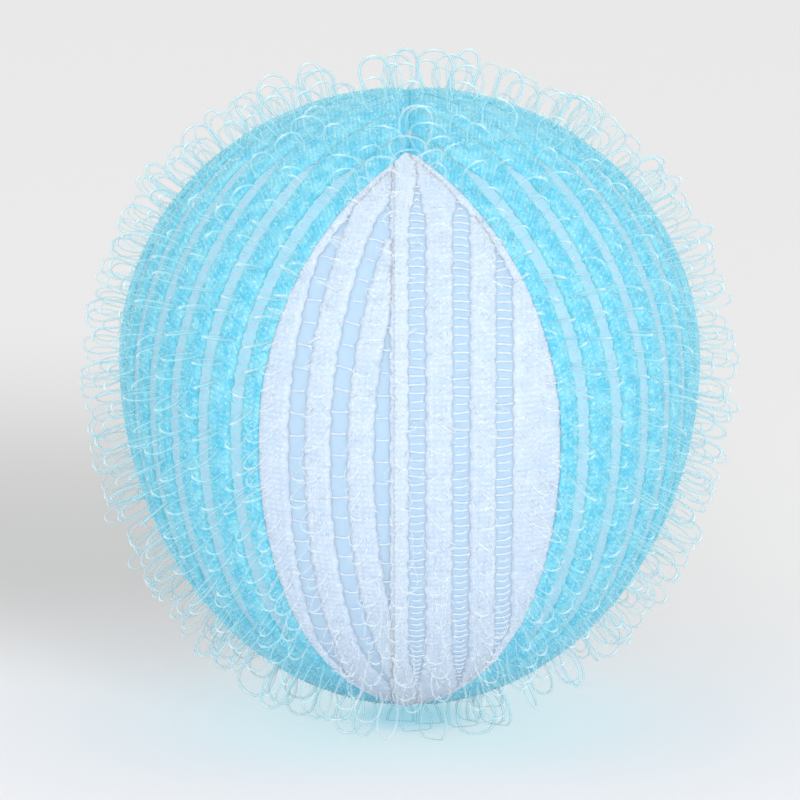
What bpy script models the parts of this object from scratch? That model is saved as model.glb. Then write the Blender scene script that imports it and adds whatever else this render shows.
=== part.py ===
"""Pet hair laundry ball: a foam core in a sewn cover of looped ladder tape, standing on its own loops.

The cover has six gores. A white lens of two overlapping tapes faces front (-Y) and another faces back,
and two blue gores fill each side between them. Metres, +Z up, the origin on the floor under the middle.
"""

from collections import namedtuple
from math import acos, asin, atan2, ceil, cos, pi, radians, sin, sqrt

import bmesh
import bpy
from mathutils import Matrix, Vector

# The cover's outer form
BODY_WIDTH = 0.0350
CROWN_HEIGHT = 0.0162
BASE_HEIGHT = 0.0213
STAND_OFF = 0.0013

# The tape: dense woven bands with a thinner ladder between them
TAPE_THICKNESS = 0.0010
LADDER_DEPTH = 0.0004
LADDER_WIDTH = 0.00110
BAND_PITCH = 0.00262
BAND_WALL = 0.00015
FIRST_LADDER = 0.00165
SELVEDGE_ROLL = 0.00035
SELVEDGE_DROP = 0.0006

# The gores, as angles seen from the middle of the ball. Each lens hangs a little low.
LENS_HALF_WIDTH = radians(30.5)
LENS_HALF_HEIGHT = radians(67.5)
LENS_TILT = radians(7.5)
LEFT_TAPE_TURN = radians(25.5)
LENS_JOIN = -0.00090
LEFT_BAND_SHOWN = 0.00070

# The nylon loops
LOOP_HEIGHT = 0.0024
LOOP_WIDTH = 0.0017
LOOP_CROWN = 0.00085
LOOP_FOOT = 0.0008
LOOP_WIRE = 0.00024
LOOP_SINK = 0.00030
LOOP_PITCH = 0.0055
LOOP_STAGGER = 0.5
LOOP_MARGIN = 0.0012
LOOP_LEAN = radians(10)
LEAN_STEP = 2.4
LOOP_SHOULDER = 0.00017
PRESS_DEPTH = 0.0005
PRESSED_LEVEL = 0.00005

# Thread, and the room between neighbouring pieces
THREAD = 0.00030
STITCH = 0.0035
STITCH_RISE = 0.00012
CLEARANCE = 0.0003

# How finely the round shapes are cut
ROW_STEP = radians(13)
LINING_COLUMNS = 5
CORE_SIDES = 22
CORE_RINGS = 12
PATH_STEPS = 240
SEARCH_STEPS = 40
MERGE = 1e-6
CREASE = radians(40)

BODY_RADIUS = BODY_WIDTH / 2
WIDEST_LEVEL = STAND_OFF + BASE_HEIGHT
SEAM_ANGLE = CLEARANCE / 2 / BODY_RADIUS
ROLL_ANGLE = SELVEDGE_ROLL / BODY_RADIUS
UPRIGHT = pi / 2
IN_PLACE = Matrix.Identity(4)

# A tape laid on the ball. "along" runs with its bands and "across" from selvedge to selvedge, both in
# radians. spread turns a width in metres into an angle across the tape.
Tape = namedtuple("Tape", "point_at edges ladders spread rows")


def cover_height(direction):
    """The cover is rounder above its widest level than below it."""
    return CROWN_HEIGHT if direction.z >= 0 else BASE_HEIGHT


def outward(direction):
    """The cover's normal at a point of the unit ball that it is stretched from."""
    height = cover_height(direction)
    return Vector((direction.x / BODY_RADIUS, direction.y / BODY_RADIUS, direction.z / height)).normalized()


def on_cover(direction, rise=0.0):
    """The point of the cover that comes from a point of the unit ball, raised from its outer face."""
    sideways = BODY_RADIUS * Vector((direction.x, direction.y, 0))
    upward = WIDEST_LEVEL + cover_height(direction) * direction.z
    return sideways + Vector((0, 0, upward)) + rise * outward(direction)


def from_lens(across, up, out):
    """A direction given in the front lens's own frame, which is tilted down."""
    return Vector((
        across,
        -out * cos(LENS_TILT) - up * sin(LENS_TILT),
        up * cos(LENS_TILT) - out * sin(LENS_TILT),
    ))


def upright(rise, azimuth):
    """A direction at a height angle above the widest level and an azimuth from +X towards +Y."""
    return Vector((cos(rise) * cos(azimuth), cos(rise) * sin(azimuth), sin(rise)))


def polar(turn, angle):
    """A direction at an angle from the lens's middle, turned about it from the right towards its top."""
    return from_lens(sin(angle) * cos(turn), sin(angle) * sin(turn), cos(angle))


def latitude(rise, azimuth):
    """A direction at a height angle and an azimuth from the lens's middle, to the right."""
    return from_lens(cos(rise) * sin(azimuth), sin(rise), cos(rise) * cos(azimuth))


# Each side of the white lens is a circle on the ball through both tips, drawn about a pole that
# leans to the other side.
EDGE_POLE = atan2(cos(LENS_HALF_WIDTH) - cos(LENS_HALF_HEIGHT), sin(LENS_HALF_WIDTH))
EDGE_RADIUS = LENS_HALF_WIDTH + EDGE_POLE


def lens_edge_from_axis(turn, outside=0.0):
    """The lens's right edge, or a line beside it, as an angle from the front axis."""
    flat, steep = cos(EDGE_POLE), sin(EDGE_POLE) * cos(turn)
    ratio = cos(EDGE_RADIUS + outside) / sqrt(flat**2 + steep**2)
    return acos(max(-1.0, min(1.0, ratio))) - atan2(steep, flat)


def side_seam_from_axis(turn):
    """The side seam, upright and square to the front, as an angle from the lens's middle."""
    return atan2(cos(LENS_TILT), -sin(LENS_TILT) * sin(turn))


def lens_edge_azimuth(rise, outside=0.0):
    """The lens's right edge, or a line beside it, as an azimuth at a height angle."""
    return acos(min(1.0, cos(EDGE_RADIUS + outside) / cos(rise))) - EDGE_POLE


def between(low, high, step):
    """Even values from low to high, no further apart than step."""
    count = max(1, ceil((high - low) / step))
    return [low + (high - low) * index / count for index in range(count + 1)]


def rows_of(low, high):
    """Rows along a tape: a low one at each cut end, and the rolled edge beside it."""
    return [low, *between(low + ROLL_ANGLE, high - ROLL_ANGLE, ROW_STEP), high]


def ladders_up_to(width, first):
    """The middles of the ladders, in radians from a selvedge, that have room across a width."""
    room = width - SELVEDGE_ROLL - LADDER_WIDTH - first
    return [(first + BAND_PITCH * band) / BODY_RADIUS for band in range(int(room / BAND_PITCH) + 1)]


def blue_tape():
    """The blue gore at the front right: its bands run beside the lens, and the side seam cuts them off."""
    width = (UPRIGHT - LENS_HALF_WIDTH) * BODY_RADIUS
    centres = ladders_up_to(width, FIRST_LADDER)
    half = LADDER_WIDTH / BODY_RADIUS / 2

    def edges(turn):
        return lens_edge_from_axis(turn, SEAM_ANGLE), side_seam_from_axis(turn) - SEAM_ANGLE

    def ladders(turn):
        return [
            (lens_edge_from_axis(turn, centre - half), lens_edge_from_axis(turn, centre + half))
            for centre in centres
        ]

    end = UPRIGHT - SEAM_ANGLE
    return Tape(polar, edges, ladders, lambda turn: 1 / BODY_RADIUS, rows_of(-end, end))


def join_azimuth(rise, shift=0.0):
    """The straight line where the right white tape laps over the left one."""
    return asin((LENS_JOIN + shift) / (BODY_RADIUS * cos(rise)))


def tip_rise(width_at):
    """The height angle at which a tape is only as wide as its two rolled edges and a little more."""
    low, high = 0.0, LENS_HALF_HEIGHT
    least = 2 * SELVEDGE_ROLL + CLEARANCE
    for _ in range(SEARCH_STEPS):
        middle = (low + high) / 2
        if width_at(middle) * BODY_RADIUS * cos(middle) > least:
            low = middle
        else:
            high = middle
    return low


def white_tape(side):
    """One of the two tapes of the front lens: side -1 is the left one, and 1 the right one."""

    def edges(rise):
        rim = lens_edge_azimuth(rise, -SEAM_ANGLE)
        if side < 0:
            return -rim, join_azimuth(rise, -CLEARANCE / 2)
        return join_azimuth(rise, CLEARANCE / 2), rim

    # The left tape was laid at a turn, so its bands lean in to the tips; the right one lies straight.
    turn = LEFT_TAPE_TURN if side < 0 else 0.0
    first = LEFT_BAND_SHOWN if side < 0 else BAND_PITCH / 2
    width = LENS_HALF_WIDTH * BODY_RADIUS - side * LENS_JOIN
    centres = sorted(LENS_JOIN / BODY_RADIUS + side * centre for centre in ladders_up_to(width, first))

    def ladders(rise):
        def carried(azimuth):
            return asin(max(-1.0, min(1.0, sin(azimuth + turn) / cos(rise)))) - turn

        half = LADDER_WIDTH / BODY_RADIUS / 2
        return [(carried(centre - half), carried(centre + half)) for centre in centres]

    end = tip_rise(lambda rise: edges(rise)[1] - edges(rise)[0])
    return Tape(latitude, edges, ladders, lambda rise: 1 / (BODY_RADIUS * cos(rise)), rows_of(-end, end))


def outer_row(tape, along):
    """The tape's outer face across one row: rolled selvedges, dense bands flush, ladders let in."""
    low, high = tape.edges(along)
    spread = tape.spread(along)
    inner_low, inner_high = low + SELVEDGE_ROLL * spread, high - SELVEDGE_ROLL * spread
    row = [(low, -SELVEDGE_DROP), (inner_low, 0.0)]
    wall = BAND_WALL * spread
    for start, stop in tape.ladders(along):
        floor = ((start + wall, -LADDER_DEPTH), (stop - wall, -LADDER_DEPTH))
        for across, rise in ((start, 0.0), *floor, (stop, 0.0)):
            if across < inner_low + wall / 2:
                row.append((inner_low, 0.0))
            elif across > inner_high - wall / 2:
                row.append((inner_high, 0.0))
            else:
                row.append((across, rise))
    return [*row, (inner_high, 0.0), (high, -SELVEDGE_DROP)]


def path_length(line):
    """The length on the cover of a line of directions."""
    return sum((on_cover(after) - on_cover(before)).length for before, after in zip(line, line[1:]))


def share_along(row, place):
    """How far along a row of points one of them lies, from 0 to 1."""
    return (row[place].co - row[0].co).length / (row[-1].co - row[0].co).length


def add_cut_end(mesh, first, second):
    """The wall at a tape's cut end: a strip of triangles between two rows with unlike numbers of points."""
    at_first = at_second = 0
    while at_first < len(first) - 1 or at_second < len(second) - 1:
        next_first, next_second = min(at_first + 1, len(first) - 1), min(at_second + 1, len(second) - 1)
        first_is_behind = share_along(first, next_first) <= share_along(second, next_second)
        if at_second == len(second) - 1 or (at_first < len(first) - 1 and first_is_behind):
            mesh.faces.new((first[at_first], first[next_first], second[at_second]))
            at_first = next_first
        else:
            mesh.faces.new((first[at_first], second[next_second], second[at_second]))
            at_second = next_second


def add_tape_shell(mesh, tape):
    """A closed curved shell: the banded outer face, a plain lining, and walls round the rim."""
    outer, lining = [], []
    for along in tape.rows:
        cut_end = along in (tape.rows[0], tape.rows[-1])
        row = outer_row(tape, along)
        outer.append([
            mesh.verts.new(on_cover(tape.point_at(along, across), -SELVEDGE_DROP if cut_end else rise))
            for across, rise in row
        ])
        low, high = tape.edges(along)
        columns = [low + (high - low) * column / LINING_COLUMNS for column in range(LINING_COLUMNS + 1)]
        lining.append([
            mesh.verts.new(on_cover(tape.point_at(along, across), -TAPE_THICKNESS)) for across in columns
        ])
    for face, turned in ((outer, False), (lining, True)):
        for lower, upper in zip(face, face[1:]):
            for left in range(len(lower) - 1):
                corners = [lower[left], lower[left + 1], upper[left + 1], upper[left]]
                mesh.faces.new(corners[::-1] if turned else corners)
    for row in range(len(outer) - 1):
        mesh.faces.new((outer[row][0], outer[row + 1][0], lining[row + 1][0], lining[row][0]))
        mesh.faces.new((outer[row][-1], lining[row][-1], lining[row + 1][-1], outer[row + 1][-1]))
    add_cut_end(mesh, lining[0], outer[0])
    add_cut_end(mesh, outer[-1], lining[-1])
    bmesh.ops.remove_doubles(mesh, verts=mesh.verts, dist=MERGE)
    bmesh.ops.triangulate(mesh, faces=mesh.faces)


def add_tube(mesh, points, side, radius):
    """A three-sided closed tube through points that lie in one plane, with side square to that plane."""
    rings = []
    for index, point in enumerate(points):
        ahead = points[min(index + 1, len(points) - 1)] - points[max(index - 1, 0)]
        across = ahead.normalized().cross(side)
        rings.append([
            mesh.verts.new(point + radius * (cos(turn) * across + sin(turn) * side))
            for turn in (0, 2 * pi / 3, 4 * pi / 3)
        ])
    for ring, following in zip(rings, rings[1:]):
        for corner in range(3):
            after = (corner + 1) % 3
            mesh.faces.new((ring[corner], ring[after], following[after], following[corner]))
    mesh.faces.new(rings[0][::-1])
    mesh.faces.new(rings[-1])


def add_loop(mesh, direction, tangent, lean):
    """One nylon loop: both feet sunk in the band, swelling to a ring, pressed level by the floor."""
    root = on_cover(direction)
    normal = outward(direction)
    tangent = (tangent - tangent.dot(normal) * normal).normalized()
    side = tangent.cross(normal)
    upward = (normal * cos(lean) + side * sin(lean)).normalized()
    height = LOOP_HEIGHT
    if upward.z < 0:
        height = min(height, (root.z + PRESS_DEPTH) / -upward.z)
    crown = height - LOOP_SHOULDER
    outline = [
        (-LOOP_FOOT / 2, -LOOP_SINK),
        (-LOOP_WIDTH / 2, height / 2),
        (-LOOP_CROWN / 2, crown),
        (LOOP_CROWN / 2, crown),
        (LOOP_WIDTH / 2, height / 2),
        (LOOP_FOOT / 2, -LOOP_SINK),
    ]
    points = [root + tangent * along + upward * out for along, out in outline]
    for point in points:
        point.z = max(point.z, PRESSED_LEVEL)
    add_tube(mesh, points, tangent.cross(upward), LOOP_WIRE / 2)


def band_middles(tape, along):
    """The middles of the dense bands across a row, on both sides of each ladder."""
    ladders = tape.ladders(along)
    half_band = (BAND_PITCH - LADDER_WIDTH) / 2 * tape.spread(along)
    inner = [(before[1] + after[0]) / 2 for before, after in zip(ladders, ladders[1:])]
    return [ladders[0][0] - half_band, *inner, ladders[-1][1] + half_band]


def add_loops(mesh, tape):
    """Rows of loops down the dense bands, wherever a whole loop has room, each row set on from the last."""
    places = between(tape.rows[0], tape.rows[-1], (tape.rows[-1] - tape.rows[0]) / PATH_STEPS)[::-1]
    middles = [band_middles(tape, along) for along in places]
    number = 0
    for row in range(len(middles[0])):
        line = [tape.point_at(along, across[row]) for along, across in zip(places, middles)]
        left_over = path_length(line)
        travelled = LOOP_PITCH * (1 - row * LOOP_STAGGER % 1) - LOOP_MARGIN
        for along, across, start, stop in zip(places, middles, line, line[1:]):
            step = on_cover(stop) - on_cover(start)
            travelled += step.length
            left_over -= step.length
            low, high = tape.edges(along)
            margin = (SELVEDGE_ROLL + LOOP_WIDTH / 2) * tape.spread(along)
            has_room = low + margin < across[row] < high - margin and left_over > LOOP_MARGIN
            if has_room and travelled >= LOOP_PITCH:
                travelled = 0.0
                number += 1
                add_loop(mesh, start, step, LOOP_LEAN * sin(LEAN_STEP * number))


def material(name, colour, roughness):
    made = bpy.data.materials.new(name)
    made.use_nodes = True
    shader = made.node_tree.nodes["Principled BSDF"]
    shader.inputs["Base Color"].default_value = (*colour, 1.0)
    shader.inputs["Roughness"].default_value = roughness
    shader.inputs["Metallic"].default_value = 0.0
    made.diffuse_color = (*colour, 1.0)
    return made


def add_object(name, mesh, finish, placing=IN_PLACE):
    """A named object from a bmesh, with its faces turned to stay outward if the placing mirrors it."""
    mesh.transform(placing)
    if placing.determinant() < 0:
        bmesh.ops.reverse_faces(mesh, faces=mesh.faces)
    data = bpy.data.meshes.new(name)
    mesh.to_mesh(data)
    mesh.free()
    data.materials.append(finish)
    data.shade_smooth()
    data.set_sharp_from_angle(angle=CREASE)
    made = bpy.data.objects.new(name, data)
    bpy.context.scene.collection.objects.link(made)
    return made


def hide_helper(helper):
    helper.hide_render = True
    helper.display_type = "WIRE"


def boolean(target, helper, operation):
    modifier = target.modifiers.new(helper.name, "BOOLEAN")
    modifier.operation = operation
    modifier.solver = "EXACT"
    modifier.object = helper


def make_tape(name, tape, finish, placing, floor_block):
    """A tape of the cover with its loops fused on, trimmed level where it meets the floor."""
    shell = bmesh.new()
    add_tape_shell(shell, tape)
    made = add_object(name, shell, finish, placing)
    loops = bmesh.new()
    add_loops(loops, tape)
    helper = add_object(name + "_loops", loops, finish, placing)
    hide_helper(helper)
    boolean(made, helper, "UNION")
    boolean(made, floor_block, "DIFFERENCE")
    return made


def make_floor_block():
    mesh = bmesh.new()
    depth = BODY_WIDTH / 2
    placing = Matrix.Translation((0, 0, -depth / 2)) @ Matrix.Diagonal((BODY_WIDTH, BODY_WIDTH, depth, 1))
    bmesh.ops.create_cube(mesh, size=1.0, matrix=placing)
    block = add_object("floor_block", mesh, material("floor_block", (0.5, 0.5, 0.5), 0.8))
    hide_helper(block)
    return block


def make_core(finish):
    """The sponge core, turned about the upright axis, a clearance inside the cover's lining."""
    mesh = bmesh.new()
    depth = TAPE_THICKNESS + CLEARANCE
    rings = []
    for ring in range(1, CORE_RINGS):
        rise = UPRIGHT - pi * ring / CORE_RINGS
        rings.append([
            mesh.verts.new(on_cover(upright(rise, 2 * pi * side / CORE_SIDES), -depth))
            for side in range(CORE_SIDES)
        ])
    top = mesh.verts.new(on_cover(Vector((0, 0, 1)), -depth))
    bottom = mesh.verts.new(on_cover(Vector((0, 0, -1)), -depth))
    for side in range(CORE_SIDES):
        after = (side + 1) % CORE_SIDES
        mesh.faces.new((top, rings[0][side], rings[0][after]))
        mesh.faces.new((bottom, rings[-1][after], rings[-1][side]))
        for upper, lower in zip(rings, rings[1:]):
            mesh.faces.new((upper[side], lower[side], lower[after], upper[after]))
    return add_object("foam_core", mesh, finish)


def make_thread(name, direction_at, low, high, finish, placing=IN_PLACE):
    """A seam's thread in the valley between two selvedges, dipping between its stitches."""
    line = [direction_at(place) for place in between(low, high, (high - low) / PATH_STEPS)]
    stitches = max(2, round(path_length(line) / STITCH))
    places = between(low, high, (high - low) / (2 * stitches))
    curve = bpy.data.curves.new(name, "CURVE")
    curve.dimensions = "3D"
    curve.bevel_depth = THREAD / 2
    curve.bevel_resolution = 0
    curve.use_fill_caps = True
    spline = curve.splines.new("POLY")
    spline.points.add(len(places) - 1)
    for index, (place, point) in enumerate(zip(places, spline.points)):
        rise = STITCH_RISE if index % 2 else 0.0
        point.co = (*(placing @ on_cover(direction_at(place), rise)), 1.0)
    curve.materials.append(finish)
    made = bpy.data.objects.new(name, curve)
    bpy.context.scene.collection.objects.link(made)
    return made


def make_cover(blue, white, floor_block):
    """Four blue gores and two white lenses of two tapes each."""
    gore = blue_tape()
    for end, front in (("front", 1), ("back", -1)):
        for hand, right in (("right", 1), ("left", -1)):
            placing = Matrix.Diagonal((right, front, 1, 1))
            make_tape(f"blue_gore_{end}_{hand}", gore, blue, placing, floor_block)
            # The lens behind is the front one turned half round, so its left tape lies on the +X side.
            placing = Matrix.Diagonal((front, front, 1, 1))
            make_tape(f"white_tape_{end}_{hand}", white_tape(right), white, placing, floor_block)


def make_threads(blue, white):
    """One thread for each seam, stopping short of its neighbours where seams meet."""
    room = (THREAD + CLEARANCE) / BODY_RADIUS
    join_end = tip_rise(lambda rise: lens_edge_azimuth(rise) + join_azimuth(rise))
    for end, front in (("front", 1), ("back", -1)):
        for hand, right in (("right", 1), ("left", -1)):
            placing = Matrix.Diagonal((right, front, 1, 1))
            make_thread(
                f"lens_thread_{end}_{hand}",
                lambda turn: polar(turn, lens_edge_from_axis(turn)),
                room - UPRIGHT,
                UPRIGHT - room,
                blue,
                placing,
            )
        placing = Matrix.Diagonal((front, front, 1, 1))
        make_thread(
            f"lap_thread_{end}",
            lambda rise: latitude(rise, join_azimuth(rise)),
            -join_end,
            join_end,
            white,
            placing,
        )
    for hand, azimuth in (("right", 0.0), ("left", pi)):
        make_thread(
            f"side_thread_{hand}",
            lambda rise, azimuth=azimuth: upright(rise, azimuth),
            room - UPRIGHT,
            UPRIGHT - room,
            blue,
        )
    for place, up in (("top", 1), ("bottom", -1)):
        tip = LENS_HALF_HEIGHT - up * LENS_TILT + room
        make_thread(
            f"{place}_thread",
            lambda rise, up=up: upright(up * rise, -UPRIGHT),
            tip,
            pi - tip,
            blue,
        )


def clear_scene():
    for old in list(bpy.data.objects):
        bpy.data.objects.remove(old, do_unlink=True)


clear_scene()
blue_nylon = material("blue_nylon", (0.24, 0.71, 0.90), 0.45)
white_nylon = material("white_nylon", (0.72, 0.85, 0.98), 0.45)
blue_thread = material("blue_thread", (0.14, 0.62, 0.84), 0.6)
white_thread = material("white_thread", (0.62, 0.80, 0.96), 0.6)
sponge = material("sponge", (0.55, 0.78, 0.90), 0.9)
block = make_floor_block()
make_core(sponge)
make_cover(blue_nylon, white_nylon, block)
make_threads(blue_thread, white_thread)
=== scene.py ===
from collections import namedtuple
from math import atan2, ceil, cos, pi, radians, sin

import bmesh
import bpy
import numpy as np
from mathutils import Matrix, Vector
from mathutils.geometry import interpolate_bezier


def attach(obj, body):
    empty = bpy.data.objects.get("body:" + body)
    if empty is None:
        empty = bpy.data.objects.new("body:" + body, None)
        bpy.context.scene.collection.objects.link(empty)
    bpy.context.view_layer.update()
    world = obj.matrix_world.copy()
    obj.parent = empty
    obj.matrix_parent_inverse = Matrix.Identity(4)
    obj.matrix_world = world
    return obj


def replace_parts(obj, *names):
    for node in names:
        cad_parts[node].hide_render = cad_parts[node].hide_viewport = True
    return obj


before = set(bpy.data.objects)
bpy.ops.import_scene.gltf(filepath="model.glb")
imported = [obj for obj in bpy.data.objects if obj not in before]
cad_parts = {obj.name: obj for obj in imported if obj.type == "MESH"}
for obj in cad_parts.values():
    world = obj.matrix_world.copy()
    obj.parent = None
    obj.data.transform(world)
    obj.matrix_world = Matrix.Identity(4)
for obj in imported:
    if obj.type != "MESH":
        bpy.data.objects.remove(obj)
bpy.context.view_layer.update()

# The sponge core: one ball of soft open-cell foam, cut egg-shaped and rounder at the crown than below.
# It fills the cover, and its pale blue shows between the cross threads of the tapes.
BODY_RADIUS = 0.0175
CROWN_HEIGHT = 0.0162
BASE_HEIGHT = 0.0213
WIDEST_LEVEL = 0.0226
SPONGE_DEPTH = 0.00006
SPONGE_CUTS = 6
PORE = 0.00045
PORE_WALL = (0.1, 0.55)
PORE_BUMP = 0.6
SPONGE_COLOUR = (0.46, 0.62, 0.78, 1)
# The pores' hollows are a little darker: painted shade in them.
PORE_SHADE_COLOUR = (0.42, 0.61, 0.78, 1)


def cover_stretch(direction):
    """How far the cover lies from the middle of the widest level along each axis."""
    height = np.where(direction[..., 2] >= 0, CROWN_HEIGHT, BASE_HEIGHT)
    return np.stack((np.full_like(height, BODY_RADIUS), np.full_like(height, BODY_RADIUS), height), axis=-1)


def outward(direction):
    """The cover's normals at points of the unit ball that it is stretched from."""
    normal = direction / cover_stretch(direction)
    return normal / np.linalg.norm(normal, axis=-1, keepdims=True)


def on_cover(direction, rise=0.0):
    """Points of the cover, raised from its outer face."""
    middle = np.array((0, 0, WIDEST_LEVEL))
    return middle + direction * cover_stretch(direction) + np.asarray(rise)[..., None] * outward(direction)


def node(tree, kind, *values, **settings):
    """Adds a node, sets its options and feeds its inputs in order: None leaves one as it is, and a node
    gives its first output."""
    made = tree.nodes.new(kind)
    for name, value in settings.items():
        setattr(made, name, value)
    for socket, value in zip((s for s in made.inputs if s.enabled), values):
        if isinstance(value, bpy.types.Node):
            value = value.outputs[0]
        if isinstance(value, bpy.types.NodeSocket):
            tree.links.new(value, socket)
        elif value is not None:
            socket.default_value = value
    return made


def calc(tree, operation, *values, **settings):
    """What a Math node works out."""
    return node(tree, "ShaderNodeMath", *values, operation=operation, **settings).outputs[0]


def mixed(tree, share, first, second):
    """The result of a Mix node between two colours."""
    made = node(tree, "ShaderNodeMix", share, data_type="RGBA")
    for number, colour in ((6, first), (7, second)):
        if isinstance(colour, bpy.types.NodeSocket):
            tree.links.new(colour, made.inputs[number])
        else:
            made.inputs[number].default_value = colour
    return made.outputs[2]


def new_material(name, **constants):
    """A material with its own Principled shader, whose even values are set on its sockets."""
    made = bpy.data.materials.new(name)
    made.use_nodes = True
    shader = made.node_tree.nodes["Principled BSDF"]
    for socket, value in constants.items():
        shader.inputs[socket.replace("_", " ")].default_value = value
    return made, made.node_tree, shader


def new_piece(name, mesh, slot, *materials):
    """A finished piece on the ball's one body."""
    made = bpy.data.objects.new(name, mesh)
    bpy.context.scene.collection.objects.link(made)
    for material in materials:
        mesh.materials.append(material)
    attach(made, "root")
    return made


sponge, tree, shader = new_material(
    "sponge", Roughness=0.95, Specular_IOR_Level=0.2,
    Subsurface_Weight=0.6, Subsurface_Radius=(1.0, 1.0, 1.0), Subsurface_Scale=0.0008,
)
place = node(tree, "ShaderNodeTexCoord").outputs["Object"]
cells = node(tree, "ShaderNodeTexVoronoi", place, None, 1 / PORE, feature="F1", voronoi_dimensions="3D")
wall = node(tree, "ShaderNodeMapRange", cells.outputs["Distance"], *PORE_WALL, 0.0, 1.0).outputs[0]
tree.links.new(mixed(tree, wall, PORE_SHADE_COLOUR, SPONGE_COLOUR), shader.inputs["Base Color"])
bump = node(tree, "ShaderNodeBump", PORE_BUMP, PORE / 3)
tree.links.new(wall, bump.inputs["Height"])
tree.links.new(bump.outputs[0], shader.inputs["Normal"])

ball = bmesh.new()
bmesh.ops.create_icosphere(ball, subdivisions=SPONGE_CUTS, radius=1.0)
mesh = bpy.data.meshes.new("sponge_core")
ball.to_mesh(mesh)
ball.free()
directions = np.empty(len(mesh.vertices) * 3)
mesh.vertices.foreach_get("co", directions)
mesh.vertices.foreach_set("co", on_cover(directions.reshape(-1, 3), -SPONGE_DEPTH).ravel())
mesh.shade_smooth()
core = new_piece("sponge_core", mesh, "sponge", sponge)
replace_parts(core, "foam_core")

# The tapes: eight strips of warp-knitted nylon, cut to shape and sewn edge to edge. Dense bands of chain
# stitches take turns with ladders of cross threads or thin net. Two white tapes lap into each lens,
# which hangs a little low, and the bands of the blue gores run beside it up to the side seams.
LENS_HALF_WIDTH = radians(30.5)
LENS_HALF_HEIGHT = radians(67.5)
LENS_TILT = radians(7.5)
LEFT_TAPE_TURN = radians(25.5)
LENS_JOIN = -0.00090
LEFT_BAND_SHOWN = 0.00070
LAP_UNDER = 0.00025
LADDER_ROOM = 0.00110
BLUE_LADDER = 0.00100
WHITE_LADDER = 0.00122
BAND_PITCH = 0.00262
FIRST_LADDER = 0.00165
BAND_THICKNESS = 0.00075
BAND_CROWN = 0.00010
BAND_FOOT = 0.00010
BAND_FLARE = 0.00014
EDGE_WANDER = 0.00004
SELVEDGE = 0.00040
LAP_LIFT = 0.00014
LAP_WIDTH = 0.00060
SEAM_ANGLE = -0.00001 / BODY_RADIUS
LEAST_BAND = 0.00025
LEAST_LADDER = 0.00035
TRACE_STEPS = 700
BAND_COLUMNS = 16
UNDERSIDE_COLUMNS = 2
ROW_STEP = 0.000085
UPRIGHT = pi / 2
BLUE_GATHERS = (-0.80, -0.62, 0.76, 0.86)
WHITE_GATHERS = (-0.93, -0.74, 0.66, 0.84)
GATHERED = -0.15
SEAM_DIP = 0.00016
SEAM_REACH = 0.00075

# How close to its sides a band stays textured and full, as powers, and the slow waves of its sides.
FACE_POWER = 8
CROWN_POWER = 5
SIDE_WAVES = ((61, 2.1), (143, 4.7))

EDGE_POLE = atan2(cos(LENS_HALF_WIDTH) - cos(LENS_HALF_HEIGHT), sin(LENS_HALF_WIDTH))
EDGE_RADIUS = LENS_HALF_WIDTH + EDGE_POLE

# "along" runs with a tape's bands and "across" from edge to edge, both in radians. spread turns metres
# across into radians, lap says how far the left selvedge stands up over the tape that it laps, and dip
# how far the ends are drawn in by their seam.
Tape = namedtuple("Tape", "point_at edges ladders spread end lap dip")
Run = namedtuple("Run", "along left right travelled")


def from_lens(across, up, out):
    """A direction given in the front lens's own frame, which is tilted down."""
    return np.stack((
        across,
        -out * cos(LENS_TILT) - up * sin(LENS_TILT),
        up * cos(LENS_TILT) - out * sin(LENS_TILT),
    ), axis=-1)


def polar(turn, angle):
    return from_lens(np.sin(angle) * np.cos(turn), np.sin(angle) * np.sin(turn), np.cos(angle))


def latitude(rise, azimuth):
    return from_lens(np.cos(rise) * np.sin(azimuth), np.sin(rise), np.cos(rise) * np.cos(azimuth))


def upright(rise, azimuth):
    return np.stack((np.cos(rise) * np.cos(azimuth), np.cos(rise) * np.sin(azimuth), np.sin(rise)), axis=-1)


def lens_edge_from_axis(turn, outside=0.0):
    """The lens's right edge, or a line beside it, as an angle from the lens's middle."""
    flat, steep = cos(EDGE_POLE), sin(EDGE_POLE) * np.cos(turn)
    ratio = np.cos(EDGE_RADIUS + outside) / np.sqrt(flat**2 + steep**2)
    return np.arccos(np.clip(ratio, -1, 1)) - np.arctan2(steep, flat)


def side_seam_from_axis(turn):
    """The upright side seam as an angle from the lens's middle."""
    return np.arctan2(cos(LENS_TILT), -sin(LENS_TILT) * np.sin(turn))


def lens_edge_azimuth(rise, outside=0.0):
    """The lens's right edge, or a line beside it, as an azimuth at a height angle."""
    return np.arccos(np.minimum(1, np.cos(EDGE_RADIUS + outside) / np.cos(rise))) - EDGE_POLE


def join_azimuth(rise, shift=0.0):
    """The straight line where the right white tape laps over the left one."""
    return np.arcsin(np.clip((LENS_JOIN + shift) / (BODY_RADIUS * np.cos(rise)), -1, 1))


def ladder_middles(width, first):
    """The middles of the ladders that have room across a width, in radians from a selvedge."""
    count = int((width - SELVEDGE - LADDER_ROOM - first) / BAND_PITCH) + 1
    return [(first + BAND_PITCH * number) / BODY_RADIUS for number in range(count)]


def openness(direction, gathers):
    """How open a ladder is at a height: towards the poles the tapes are gathered, and their bands overlap."""
    return np.interp(direction[..., 2], gathers, (GATHERED, 1, 1, GATHERED))


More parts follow.
